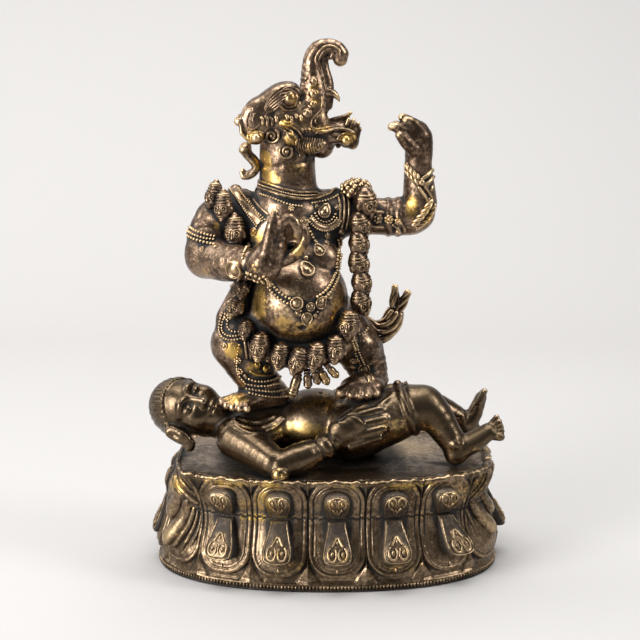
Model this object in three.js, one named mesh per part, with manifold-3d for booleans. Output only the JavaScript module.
// A cast and gilt bronze group from the Himalayas: a deity with the head of a makara (a
// water beast with a curling snout) strides over a recumbent man on a double lotus base.
// Three castings stand one on another: the base, the recumbent figure and the deity.
// Millimetres. +X is the viewer's right, +Y is away from the viewer, +Z is up. The origin is
// on the base's underside, just right of its middle.
import * as THREE from "three";
import { mergeVertices } from "three/addons/utils/BufferGeometryUtils.js";
import Module from "manifold-3d";

const wasm = await Module();
wasm.setup();

// Driving dimensions of the base
const baseHalfWidth = 53;
const baseHalfDepth = 33;
const baseMiddle = -0.8; // the X of the base's middle
const baseSquareness = 2.3; // exponent of the oval: 2 is an ellipse, more is squarer
const baseHeight = 33;
const seamHeight = 20; // where the two rows of petals meet
const footInset = 0.5; // how far the wall lies inside the beaded foot
const waistInset = 5; // how far the seam lies inside the foot
const lipInset = 3.4; // how far the lip of the top lies inside the foot
const petalCount = 16;
const petalShift = 2.8; // the front petal's middle stands this far right of the base's
const bossRise = 3; // how far the boss on a petal stands out
const bossHalfWidth = 4.3;
const bossWall = 0.9; // width of the boss's steep side

const headBulge = [[0.12, 0.62], [0.6, 1]]; // share of a head's length, share of its radius
const toeRadius = 1.8;

const castingGap = 0.3; // clearance between one casting and the next

const capLift = 0.7; // how far along its end's radius the ring of a limb's round cap stands
const slenderSides = 6; // a limb with so few sides has no cap rings

// Solids

// A closed geometry as a manifold solid.
function toSolid(geometry) {
  const bare = geometry.clone();
  bare.deleteAttribute("normal");
  bare.deleteAttribute("uv");
  const merged = mergeVertices(bare, 1e-4);
  return new wasm.Manifold(
    new wasm.Mesh({
      numProp: 3,
      vertProperties: new Float32Array(merged.attributes.position.array),
      triVerts: new Uint32Array(merged.index.array),
    }),
  );
}

// A manifold solid as a three.js geometry.
function toGeometry(solid) {
  const mesh = solid.getMesh();
  const geometry = new THREE.BufferGeometry();
  geometry.setAttribute("position", new THREE.BufferAttribute(mesh.vertProperties, 3));
  geometry.setIndex(new THREE.BufferAttribute(mesh.triVerts, 1));
  geometry.computeVertexNormals();
  return geometry;
}

const fuse = (solids) => solids.reduce((whole, next) => whole.add(next));

// An ellipsoid: centre, three radii, and turns about X, Y and Z in degrees.
function blob(centre, radii, turn = [0, 0, 0], around = 7, down = 5) {
  const angles = turn.map(THREE.MathUtils.degToRad);
  const geometry = new THREE.SphereGeometry(1, around, down)
    .rotateX(Math.PI / 2)
    .scale(...radii)
    .applyMatrix4(new THREE.Matrix4().makeRotationFromEuler(new THREE.Euler(...angles, "XYZ")))
    .translate(...centre);
  return toSolid(geometry);
}

// A round limb through stations [x, y, z, radius]. Its ends are round, or pointed on a slender one.
function limb(stations, sides = 6, stepsPerSpan = 1) {
  const spine = new THREE.CatmullRomCurve3(
    stations.map(([x, y, z]) => new THREE.Vector3(x, y, z)),
    false,
    "centripetal",
  );
  const spans = stations.length - 1;
  const steps = spans * stepsPerSpan;
  const radiusAt = (t) => {
    const place = t * spans;
    const before = Math.min(Math.floor(place), spans - 1);
    return THREE.MathUtils.lerp(stations[before][3], stations[before + 1][3], place - before);
  };
  const rings = [];
  const hasCaps = sides > slenderSides;
  if (hasCaps) rings.push([0, -capLift]);
  for (let i = 0; i <= steps; i += 1) rings.push([i / steps, 0]);
  if (hasCaps) rings.push([1, capLift]);

  const side = new THREE.Vector3();
  const vertices = [];
  let across = new THREE.Vector3(0.31, 0.87, 0.38);
  const pole = (t, sign) => {
    const end = spine.getPoint(t).addScaledVector(spine.getTangent(t), sign * radiusAt(t));
    vertices.push(end.x, end.y, end.z);
  };
  pole(0, -1);
  for (const [t, lift] of rings) {
    const tangent = spine.getTangent(t);
    across.addScaledVector(tangent, -across.dot(tangent)).normalize();
    side.crossVectors(tangent, across);
    const radius = radiusAt(t);
    const centre = spine.getPoint(t).addScaledVector(tangent, lift * radius);
    const width = radius * Math.sqrt(1 - lift * lift);
    for (let k = 0; k < sides; k += 1) {
      const angle = (2 * Math.PI * k) / sides;
      const point = centre
        .clone()
        .addScaledVector(across, width * Math.cos(angle))
        .addScaledVector(side, width * Math.sin(angle));
      vertices.push(point.x, point.y, point.z);
    }
  }
  pole(1, 1);

  const faces = [];
  const last = vertices.length / 3 - 1;
  const vertexOf = (ring, k) => 1 + ring * sides + (k % sides);
  for (let k = 0; k < sides; k += 1) {
    faces.push(0, vertexOf(0, k + 1), vertexOf(0, k));
    faces.push(last, vertexOf(rings.length - 1, k), vertexOf(rings.length - 1, k + 1));
    for (let ring = 0; ring + 1 < rings.length; ring += 1) {
      const [a, b] = [vertexOf(ring, k), vertexOf(ring, k + 1)];
      const [c, d] = [vertexOf(ring + 1, k), vertexOf(ring + 1, k + 1)];
      faces.push(a, b, c, b, d, c);
    }
  }
  const geometry = new THREE.BufferGeometry();
  geometry.setAttribute("position", new THREE.Float32BufferAttribute(vertices, 3));
  geometry.setIndex(faces);
  return toSolid(geometry);
}

// A string of equal heads along a curve through points: each head is a bulge of the string.
function strand(points, count, radius) {
  const curve = new THREE.CatmullRomCurve3(
    points.map((p) => new THREE.Vector3(...p)),
    false,
    "centripetal",
  );
  const stations = [];
  for (let head = 0; head < count; head += 1)
    for (const [share, size] of headBulge) {
      const { x, y, z } = curve.getPointAt((head + share) / count);
      stations.push([x, y, z, radius * size]);
    }
  return limb(stations, 5);
}

// The base

const smoothstep = (low, high, x) => {
  const t = THREE.MathUtils.clamp((x - low) / (high - low), 0, 1);
  return t * t * (3 - 2 * t);
};

// The oval as a table of points and lengths along its edge, from the middle of the front.
function ovalTable(samples = 3600) {
  const bend = (v) => Math.sign(v) * Math.abs(v) ** (2 / baseSquareness);
  const points = Array.from({ length: samples + 1 }, (_, i) => {
    const angle = (2 * Math.PI * i) / samples - Math.PI / 2;
    return new THREE.Vector2(
      baseHalfWidth * bend(Math.cos(angle)),
      baseHalfDepth * bend(Math.sin(angle)),
    );
  });
  const lengths = [0];
  for (let i = 0; i < samples; i += 1)
    lengths.push(lengths[i] + points[i].distanceTo(points[i + 1]));
  return { points, lengths, total: lengths[samples] };
}

// The point of the oval at a length along its edge, with its outward direction.
function ovalPoint({ points, lengths, total }, length) {
  const goal = ((length % total) + total) % total;
  const i = Math.max(lengths.findIndex((l) => l > goal) - 1, 0);
  const share = (goal - lengths[i]) / (lengths[i + 1] - lengths[i]);
  const place = points[i].clone().lerp(points[i + 1], share);
  const steer = (v) => Math.sign(v) * Math.abs(v) ** (baseSquareness - 1);
  const out = new THREE.Vector2(
    steer(place.x / baseHalfWidth) / baseHalfWidth,
    steer(place.y / baseHalfDepth) / baseHalfDepth,
  ).normalize();
  return { place, out };
}

// How far the plain wall lies inside the foot at each height: foot, waist at the seam, lip.
function wallInset(z) {
  const footRim = footInset * smoothstep(2.4, 3.2, z);
  const lower = (waistInset - footInset) * smoothstep(4, seamHeight, z);
  const upper = -(waistInset - lipInset) * smoothstep(seamHeight, baseHeight - 2, z);
  return footRim + lower + upper;
}

// How far a petal's boss stands out, at a distance along the edge from the petal's middle:
// a wide boss on the lower petal, a narrower one on the upper, and a neck between them.
function bossOut(along, z) {
  const upper = smoothstep(seamHeight - 3, seamHeight + 3, z);
  const halfWidth = bossHalfWidth * (1 - 0.18 * upper);
  const across = smoothstep(halfWidth + bossWall, halfWidth, Math.abs(along));
  const neck = 1 - 0.45 * smoothstep(4, 0, Math.abs(z - seamHeight));
  const ends = smoothstep(8, 10, z) * smoothstep(30, 28, z);
  return bossRise * across * neck * ends;
}

function lotusBase() {
  const columnShares = [-0.5, -0.31, -0.24, 0.24, 0.31]; // of a petal's pitch
  const levels = [0, 2.4, 3.4, 8, 10, 14, seamHeight - 0.8, seamHeight + 0.8, 28, 30, baseHeight];
  const oval = ovalTable();
  const pitch = oval.total / petalCount;
  const columns = [];
  for (let petal = 0; petal < petalCount; petal += 1)
    for (const share of columnShares)
      columns.push({
        along: share * pitch,
        ...ovalPoint(oval, petalShift + (petal + share) * pitch),
      });
  const vertices = [0, 0, 0];
  for (const z of levels) {
    for (const { along, place, out } of columns) {
      const inset = wallInset(z) - bossOut(along, z);
      vertices.push(baseMiddle + place.x - out.x * inset, place.y - out.y * inset, z);
    }
  }
  vertices.push(0, 0, baseHeight);
  const faces = [];
  const last = vertices.length / 3 - 1;
  const vertexOf = (level, n) => 1 + level * columns.length + (n % columns.length);
  for (let n = 0; n < columns.length; n += 1) {
    faces.push(0, vertexOf(0, n + 1), vertexOf(0, n));
    faces.push(last, vertexOf(levels.length - 1, n), vertexOf(levels.length - 1, n + 1));
    for (let level = 0; level + 1 < levels.length; level += 1) {
      const [a, b] = [vertexOf(level, n), vertexOf(level, n + 1)];
      const [c, d] = [vertexOf(level + 1, n), vertexOf(level + 1, n + 1)];
      faces.push(a, b, c, b, d, c);
    }
  }
  const geometry = new THREE.BufferGeometry();
  geometry.setAttribute("position", new THREE.Float32BufferAttribute(vertices, 3));
  geometry.setIndex(faces);
  return toSolid(geometry);
}

// The recumbent man: head to the viewer's left, knees raised, hands on his hips

function recumbentHead() {
  return [
    blob([-42.6, -4, 48], [10.4, 8.4, 8.6], [25, 14, -4], 9, 6), // skull and face
    blob([-47.6, -2.6, 49.4], [7.8, 8.7, 9], [20, -20, 0], 9, 6), // hair
    blob([-37.8, -7, 53.2], [2.4, 1.6, 2], [0, 0, 0], 5, 4), // nose
    blob([-34.2, -5.4, 46.6], [3.2, 4.4, 4.2], [0, 0, 0], 6, 5), // chin
    blob([-45.2, -10.4, 41.8], [4.4, 1.6, 2.8], [0, 28, 0], 6, 4), // ear
    limb([[-37, -3, 45.4, 6], [-27, -1, 43, 6.4]]), // neck
  ];
}

function recumbentTorso() {
  return [
    blob([-23.5, 0, 42], [12.5, 15, 8.3]), // chest
    blob([-4.2, 0, 43.2], [13.6, 13.2, 10.2]), // belly
    blob([8.5, 0, 42.4], [12.5, 13.6, 9.4]), // hips in their cloth
    limb([[-22, 0, 38, 6.5], [0, 0, 38, 7.5], [12, 0, 38, 6.5]]), // back
  ];
}

// One leg on its side of the body: thigh, raised knee, shin and foot.
function recumbentLeg(thigh, shin, foot) {
  return [limb(thigh), limb(shin), limb(foot)];
}

function recumbentArm(side) {
  return [
    limb([[-28, side * 12.5, 41.6, 6.4], [-22, side * 18.5, 39.6, 5.2], [-15, side * 24.6, 37.4, 4.2]]),
    limb([[-15, side * 24.6, 37.4, 4.2], [-9, side * 22.6, 38.4, 4.5], [-1.5, side * 19.6, 41, 4.1]]),
    blob([6, side * 17.4, 44], [7.6, 2.6, 5.2], [0, -12, side * 14], 7, 5), // back of the hand
    blob([12.4, side * 15.8, 45.4], [5.8, 2, 4], [0, -12, side * 14], 6, 4), // fingers
  ];
}

function recumbentFigure() {
  return fuse([
    ...recumbentTorso(),
    ...recumbentHead(),
    ...recumbentLeg(
      [[7, -7, 42.4, 8.6], [17, -8, 47.2, 7.8], [28, -8.6, 50.4, 6.4]],
      [[28, -8.6, 50.4, 6.3], [33, -9.6, 45.6, 4.9], [38.6, -11.2, 39, 4]],
      [[38.8, -11.6, 37.6, 3.9], [44.4, -11.4, 41, 3.7], [49.8, -11, 44.6, 2.9]],
    ),
    ...recumbentLeg(
      [[7, 7, 42, 8.4], [17, 7.6, 45, 7.2], [26.6, 7.6, 46.6, 5.9]],
      [[26.6, 7.6, 46.6, 5.8], [34, 7.8, 44, 4.6], [41.4, 8, 41.2, 3.7]],
      [[43.4, 8, 38.4, 3.9], [45.8, 8, 43.4, 3.4], [47.9, 8, 49.4, 2.5]],
    ),
    ...recumbentArm(-1),
    ...recumbentArm(1),
  ]);
}

// The deity: torso, head of a makara, arms, legs, garland of heads, apron and tassel

function deityTorso() {
  return [
    blob([-9.6, -4.6, 84.6], [15, 14.5, 14.1], [0, 0, 0], 12, 8), // hanging belly
    blob([-12.6, 0.4, 103], [16.6, 10.6, 12.2], [0, 0, 0], 9, 5), // chest
    blob([-3.4, -8.2, 95.4], [6.6, 6, 6.4]), // breasts
    blob([-17.4, -8.2, 95.4], [6.6, 6, 6.4]),
    blob([-9.4, 2.6, 77], [17, 11.6, 10]), // hips
    limb([[-12.8, 1, 108, 11.6], [-12.8, 1, 115, 9.8], [-12.8, 1, 120, 8.6], [-13, 1, 131, 8.3]], 10), // neck
  ];
}

function makaraHead() {
  const ear = (y) => [
    limb([[-18.6, y, 142.4, 2.4], [-25, y, 139.4, 2.4], [-26.6, y, 135.6, 2.2], [-23.4, y, 131.2, 2.6]], 6),
  ];
  const cheekCurls = (side) =>
    [[-17, 131.4], [-11.6, 127.6], [-5, 127.2]].map(([x, z]) =>
      blob([x, 1 + side * 6.2, z], [3, 2.8, 3], [0, 0, 0], 5, 4),
    );
  return [
    blob([-14.2, 1, 137.4], [10.4, 8.8, 8.8], [0, -12, 0], 9, 6), // skull
    blob([-6.6, 1, 134.4], [8.6, 7.4, 7.6], [0, 0, 0], 8, 5), // muzzle
    limb([
      [-5.2, 1, 138, 6.2], [-4.4, 1, 146, 4.9], [-4.6, 1, 152.6, 4], [-3, 1, 157, 3.1],
      [0.6, 1, 158.2, 2.4], [3.2, 1, 156, 2.2], [2.6, 1, 154.2, 1.9],
    ], 7, 2), // upraised snout, curling over at its tip
    limb([[0.6, 2.4, 143.4, 1.6], [2.6, 2.4, 141.6, 0.7]], 5), // fang under the snout
    limb([[-6, 1, 131.2, 5.6], [0, 1, 132.6, 4.4], [5.4, 1, 134, 3.9]]), // lower jaw
    blob([5.4, 1, 131], [3.4, 4, 3.3]), // chin knob
    blob([6.6, 1, 136.8], [2.2, 3.6, 1.8]), // lip
    blob([-11.2, -6.6, 143.4], [2.6, 2.4, 2.6], [0, 0, 0], 6, 4), // eyes
    blob([-11.2, 8.6, 143.4], [2.6, 2.4, 2.6], [0, 0, 0], 6, 4),
    ...ear(-6.8),
    ...ear(8.8),
    ...cheekCurls(-1),
    ...cheekCurls(1),
    limb([[-20, 3, 131.6, 3], [-23.6, 3.4, 125.6, 1.7], [-25.6, 3.6, 120.2, 2]], 6), // ribbon
  ];
}

function rightArm() {
  return [
    limb([
      [-27, 2, 107.6, 8], [-33.8, 1.4, 107, 7.8], [-36.2, -0.2, 103.2, 6.9], [-36.5, -0.6, 102.8, 7.7],
      [-36.9, -1.4, 100.8, 7.7], [-37, -1.6, 100.4, 6.7], [-37.4, -3, 96.4, 6.6],
    ], 7), // upper arm with its armlet
    limb([
      [-37, -3, 96, 6.6], [-31, -9.4, 95.4, 6], [-26, -14.2, 95.8, 5.2], [-25.4, -14.9, 95.9, 6.2],
      [-24, -16.4, 96.1, 6.2], [-23.4, -17, 96.2, 4.6],
    ], 7), // forearm with its bracelet
    limb([[-20.6, -20.4, 97.4, 4.4], [-17, -22.6, 101.6, 4.6], [-14.4, -22.4, 107, 3.4]], 7), // palm
    limb([[-16.6, -22.6, 107, 1.7], [-14.2, -23, 113, 1.4]], 5), // thumb
    limb([[-13, -21.6, 108.4, 1.7], [-9.4, -22.4, 108.6, 1.5], [-8.6, -22, 104.6, 1.3]], 5),
    limb([[-13.4, -20.6, 99.6, 1.8], [-9, -20.6, 101.6, 1.6], [-7.4, -20, 106, 1.4]], 5),
  ];
}

function leftArm() {
  return [
    limb([
      [0, 1.6, 108, 7.6], [12, 2, 107.6, 5.8], [17.4, 2, 107.5, 5.8], [18, 2, 107.5, 7],
      [20, 2, 107.4, 7], [20.6, 2, 107.4, 5.8], [24, 2, 108, 5.9], [26.6, 1.6, 111.6, 5.5],
      [26.5, 1, 118, 4.8], [26.5, 0.9, 119.4, 4.7], [26.5, 0.9, 119.8, 5.8], [26.5, 0.8, 121.4, 5.8],
      [26.5, 0.8, 121.8, 4.6], [26.4, 0.4, 127, 4.2],
    ], 7), // upper arm, elbow and raised forearm, with armlet and bracelet
    limb([[26.6, 0, 127, 4.2], [26.4, -0.6, 131.6, 4.5], [22.6, -1.4, 133.4, 3.9]]), // palm
    limb([[23.4, -3.4, 133, 1.7], [20, -4, 135, 1.5], [18.4, -4, 134.6, 1.2]], 5), // fingers
    limb([[24, 0.6, 135, 1.7], [21.8, 0.4, 136.6, 1.4]], 5),
    limb([[23, 2.6, 132.4, 1.7], [19.4, 2.4, 133, 1.4]], 5),
  ];
}

function deityLegs() {
  return [
    limb([[-16, 1, 77.6, 9.8], [-25, -5, 74.2, 8.8], [-28.8, -7.4, 70.6, 7.6]], 7), // right thigh
    limb([
      [-28.6, -7.4, 70.6, 7.6], [-25, -6.6, 63.4, 6.8], [-21.6, -5.8, 58.2, 6.4],
      [-21.4, -5.8, 57.8, 7.4], [-20.8, -5.7, 56, 7.4], [-20.6, -5.6, 55.4, 6.2],
    ], 7), // right shin and anklet
    limb([[-17.4, -4.4, 53.2, 5], [-23.4, -7.8, 52.6, 4.2], [-28.4, -10.6, 52, 3.1]]), // right foot
    strand([[-32.4, -9.2, 52.7], [-28.8, -12.4, 52.2], [-25.6, -13.8, 51.5]], 4, toeRadius), // toes
    limb([[-2.6, 2.6, 76.6, 10], [5, 3.4, 70.4, 8.4], [9.4, 3.8, 65, 7]], 7), // left thigh
    limb([
      [9.4, 3.8, 65, 7], [11.4, 3.4, 60.4, 6.2], [11.6, 3.3, 60, 7], [12.2, 2.9, 57.6, 7],
      [12.4, 2.8, 57.2, 5.8], [12.6, 2.6, 56.2, 5.4],
    ], 7), // left shin and anklet
    limb([[12.6, 1.6, 55.6, 5.2], [11, -5, 55.2, 4.5], [9, -9.6, 54.4, 3.9]]), // left foot
    strand([[2.4, -10.6, 54.6], [8.8, -12, 54.4], [14.8, -10.6, 54.6]], 5, toeRadius), // toes
  ];
}

function garlandOfHeads() {
  const headRadius = 3.2;
  return [
    strand(
      [
        [5, 6, 113.4], [8.4, 1.4, 114.6], [9, -3.4, 110.4], [8, -6, 103.4], [7.6, -7.4, 96.4],
        [8.2, -7.6, 89.4], [8.6, -7.6, 83], [7, -9.6, 77.4], [5.4, -12.6, 70],
      ],
      9,
      headRadius,
    ),
    strand(
      [
        [-28.6, 6, 114.6], [-32, 1.4, 115.4], [-31.4, -5, 110.2], [-28.6, -8, 103.8],
        [-26.6, -8.6, 96.6], [-28, -7.4, 89.4], [-27.6, -8.4, 83], [-25.4, -11.4, 74],
      ],
      8,
      headRadius,
    ),
    strand(
      [[-28.6, 6, 114.6], [-24, 9.2, 104], [-11.6, 10.4, 96.4], [0, 9.2, 104], [5, 6, 113.4]],
      8,
      headRadius,
    ), // across the back
  ];
}

function apronOfHeads() {
  const headRadius = 3.7;
  return [
    strand(
      [
        [-28, -10.6, 73.4], [-20.6, -15.4, 69.2], [-15, -17.4, 66.4], [-9.2, -18, 65.4],
        [-3.8, -17.4, 66.4], [1.6, -15.4, 68.6], [8, -10.6, 74.4],
      ],
      7,
      headRadius,
    ), // heads side by side under the belly
    limb([[-22, -8.6, 71.6, 4.6], [-9, -12, 69.6, 5.4], [3, -8.6, 72.4, 4.6]], 6), // skirt behind them
    limb([[-8.4, -17.6, 64, 1.9], [-10, -17.4, 58, 1.7], [-11.4, -16.8, 53.4, 1.2]], 5),
    limb([[-6.8, -17, 64, 1.7], [-6.6, -16.4, 59.6, 1.5]], 5),
    limb([[-5.6, -17, 64.6, 1.7], [-3.2, -16.6, 60.6, 1.6], [-0.6, -16, 57.6, 1]], 5),
    limb([[6, -11, 73, 2.4], [8.6, -6, 66.4, 2.4], [10.4, -4.4, 60.6, 2.2]], 5), // left leg's chain
    limb([[-27.6, -12.6, 73, 2.2], [-27.6, -13.2, 66.6, 2], [-23.6, -12.4, 60, 2]], 5), // right leg's
  ];
}

function tassel() {
  return [
    limb([[4, 6.6, 77.6, 4.6], [9.4, 8.6, 72.6, 4], [14.6, 9, 71.4, 3.6], [19, 9, 74.6, 3], [21, 9, 79, 2.4]], 7, 2),
    limb([[20.6, 9, 78, 2], [20, 9, 84.6, 0.9]], 5),
    limb([[21.6, 9, 78, 2], [24.4, 9, 82.8, 1]], 5),
  ];
}

function standingDeity() {
  return fuse([
    ...deityTorso(),
    ...makaraHead(),
    ...rightArm(),
    ...leftArm(),
    ...deityLegs(),
    ...garlandOfHeads(),
    ...apronOfHeads(),
    ...tassel(),
  ]);
}

// Each casting is cut clear of the one that it stands on.
const clearOf = (solid, below) =>
  solid.subtract(below).subtract(below.translate([0, 0, castingGap]));

// Metals
const metal = (color, roughness) =>
  new THREE.MeshStandardMaterial({ color, roughness, metalness: 0.9 });

function casting(name, solid, material) {
  const mesh = new THREE.Mesh(toGeometry(solid), material);
  mesh.name = name;
  return mesh;
}

const base = lotusBase();
const recumbent = clearOf(recumbentFigure(), base);
const deity = clearOf(standingDeity(), recumbent);

const group = new THREE.Group();
group.add(
  casting("lotus_base", base, metal(0x6b5a3e, 0.42)),
  casting("recumbent_figure", recumbent, metal(0x6a5236, 0.4)),
  casting("standing_deity", deity, metal(0x5a442c, 0.36)),
);

export default group;
